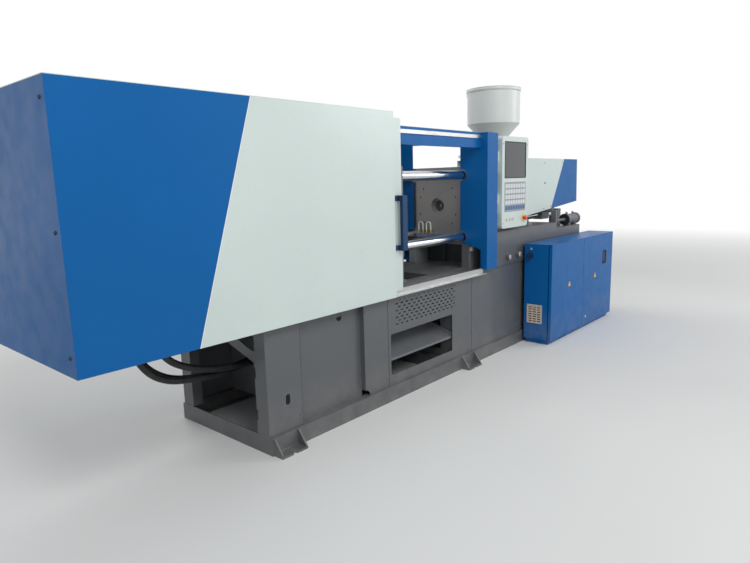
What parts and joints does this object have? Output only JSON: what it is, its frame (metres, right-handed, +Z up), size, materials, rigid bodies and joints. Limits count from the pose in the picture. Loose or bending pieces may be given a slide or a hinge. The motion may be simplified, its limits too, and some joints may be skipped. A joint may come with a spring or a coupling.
{
  "type": "injection moulding machine",
  "caption": "Horizontal injection moulding machine with a hydraulic clamp, sliding safety gates, an injection unit with hopper, a swivelling control panel and an electric cabinet.",
  "frame": {"origin": "on the floor under the middle of the 4.4 m long base, on the machine's centre plane", "axes": "+X runs from the clamp end to the injection end, +Z is up, and the operator stands on the -Y side"},
  "size_m": [5.36, 1.224, 2.274],
  "materials": {
    "frame_paint": "satin dark grey paint",
    "pale_paint": "satin pale grey-green paint",
    "blue_paint": "satin blue paint",
    "navy_paint": "satin dark blue paint",
    "machine_grey": "satin mid grey paint over cast or welded metal",
    "platen_iron": "painted sides, machined face",
    "bright_steel": "ground and hard chromed",
    "nut_steel": "turned, dark oiled",
    "hose_rubber": "matte black",
    "band_metal": "matte, heat tinted",
    "clear_plastic": "clear, slightly grey",
    "screen_glass": "dark, glossy",
    "key_film": "matte membrane",
    "stop_red": "glossy red",
    "vent_plastic": "matte beige",
    "latch_plastic": "matte black",
    "switch_plastic": "satin dark blue",
    "gear_plastic": "matte light grey",
    "manifold_metal": "satin",
    "hopper_steel": "satin pale coating over steel",
    "motor_paint": "satin blue"
  },
  "bodies": {
    "frame": {"skid_frame": "frame_paint", "base_body": "frame_paint", "front_panels": "frame_paint", "grille_panel": "frame_paint", "rear_panels": "frame_paint", "drop_chute": "machine_grey", "injection_bed": "frame_paint", "oil_tank": "machine_grey", "pump_motor": "machine_grey", "valve_block": "machine_grey", "clamp_hoses": "hose_rubber", "stationary_platen": "platen_iron", "tie_bars": "bright_steel", "tie_bar_nuts": "nut_steel", "clamp_cylinder": "machine_grey", "housing_frame": "frame_paint", "housing_end_cover": "blue_paint", "housing_side_front": "pale_paint", "housing_top_rear": "pale_paint", "gate_rails": "bright_steel", "guard_portal": "blue_paint", "water_manifold": "manifold_metal", "guide_rods": "bright_steel", "carriage_cylinders": "machine_grey", "panel_bracket": "bright_steel", "cabinet_body": "blue_paint", "cabinet_vent": "vent_plastic", "cabinet_gear": "gear_plastic"},
    "platen": {"moving_platen": "platen_iron", "clamp_piston": "bright_steel", "ejector_cylinders": "nut_steel"},
    "ejector": {"ejector_plate": "bright_steel"},
    "gate": {"safety_gate": "pale_paint", "gate_window": "clear_plastic", "gate_handle": "navy_paint"},
    "rear_gate": {"rear_gate": "pale_paint", "rear_gate_window": "clear_plastic"},
    "carriage": {"injection_carriage": "machine_grey", "barrel": "bright_steel", "nozzle": "bright_steel", "heater_bands": "band_metal", "injection_cylinders": "machine_grey", "injection_cover": "pale_paint", "injection_cover_end": "blue_paint", "hopper_base": "bright_steel"},
    "drive": {"screw_drive": "machine_grey", "hydraulic_motor": "motor_paint"},
    "screw": {"screw": "bright_steel"},
    "hopper": {"hopper": "hopper_steel"},
    "shutter": {"hopper_shutter": "bright_steel"},
    "lid": {"hopper_lid": "hopper_steel"},
    "purge_guard": {"purge_guard": "pale_paint"},
    "panel": {"control_panel": "pale_paint", "panel_screen": "screen_glass", "panel_keys": "key_film"},
    "stop_button": {"emergency_stop": "stop_red"},
    "door_left": {"cabinet_door_left": "blue_paint"},
    "door_right": {"cabinet_door_right": "blue_paint"},
    "latch": {"door_latch": "latch_plastic"},
    "switch": {"main_switch": "switch_plastic"}
  },
  "joints": [
    {"name": "gate_slide", "type": "slide", "parent": "frame", "child": "gate", "axis": [1, 0, 0], "range_m": [0, 1.03]},
    {"name": "rear_gate_slide", "type": "slide", "parent": "frame", "child": "rear_gate", "axis": [-1, 0, 0], "range_m": [0, 1.03]},
    {"name": "platen_slide", "type": "slide", "parent": "frame", "child": "platen", "axis": [1, 0, 0], "range_m": [0, 0.45]},
    {"name": "ejector_slide", "type": "slide", "parent": "platen", "child": "ejector", "axis": [1, 0, 0], "range_m": [0, 0.09]},
    {"name": "carriage_slide", "type": "slide", "parent": "frame", "child": "carriage", "axis": [1, 0, 0], "range_m": [-0.03, 0.2]},
    {"name": "screw_stroke", "type": "slide", "parent": "carriage", "child": "drive", "axis": [1, 0, 0], "range_m": [0, 0.16]},
    {"name": "screw_spin", "type": "hinge", "parent": "drive", "child": "screw", "pos_m": [1.4, 0, 1.235], "axis": [1, 0, 0], "continuous": true},
    {"name": "hopper_slide", "type": "slide", "parent": "carriage", "child": "hopper", "axis": [0, 1, 0], "range_m": [0, 0.2]},
    {"name": "shutter_slide", "type": "slide", "parent": "hopper", "child": "shutter", "axis": [-1, 0, 0], "range_m": [0, 0.115]},
    {"name": "lid_hinge", "type": "hinge", "parent": "hopper", "child": "lid", "pos_m": [0.88, 0.257, 2.247], "axis": [-1, 0, 0], "range_deg": [0, 100]},
    {"name": "purge_hinge", "type": "hinge", "parent": "frame", "child": "purge_guard", "pos_m": [0.32, 0.15, 1.39], "axis": [-1, 0, 0], "range_deg": [0, 90]},
    {"name": "panel_swivel", "type": "hinge", "parent": "frame", "child": "panel", "pos_m": [0.15, -0.445, 1.4], "axis": [0, 0, -1], "range_deg": [0, 55]},
    {"name": "stop_press", "type": "slide", "parent": "panel", "child": "stop_button", "axis": [0, 1, 0], "range_m": [0, 0.006], "stiffness_N_per_m": 2000},
    {"name": "door_left_hinge", "type": "hinge", "parent": "frame", "child": "door_left", "pos_m": [0.654, -0.696, 0.46], "axis": [0, 0, -1], "range_deg": [0, 95]},
    {"name": "door_right_hinge", "type": "hinge", "parent": "frame", "child": "door_right", "pos_m": [2.066, -0.696, 0.46], "axis": [0, 0, 1], "range_deg": [0, 95]},
    {"name": "latch_turn", "type": "hinge", "parent": "door_right", "child": "latch", "pos_m": [1.86, -0.703, 0.697], "axis": [-1, 0, 0], "range_deg": [0, 45]},
    {"name": "switch_turn", "type": "hinge", "parent": "frame", "child": "switch", "pos_m": [0.62, -0.514, 0.779], "axis": [1, 0, 0], "range_deg": [0, 90]}
  ]
}
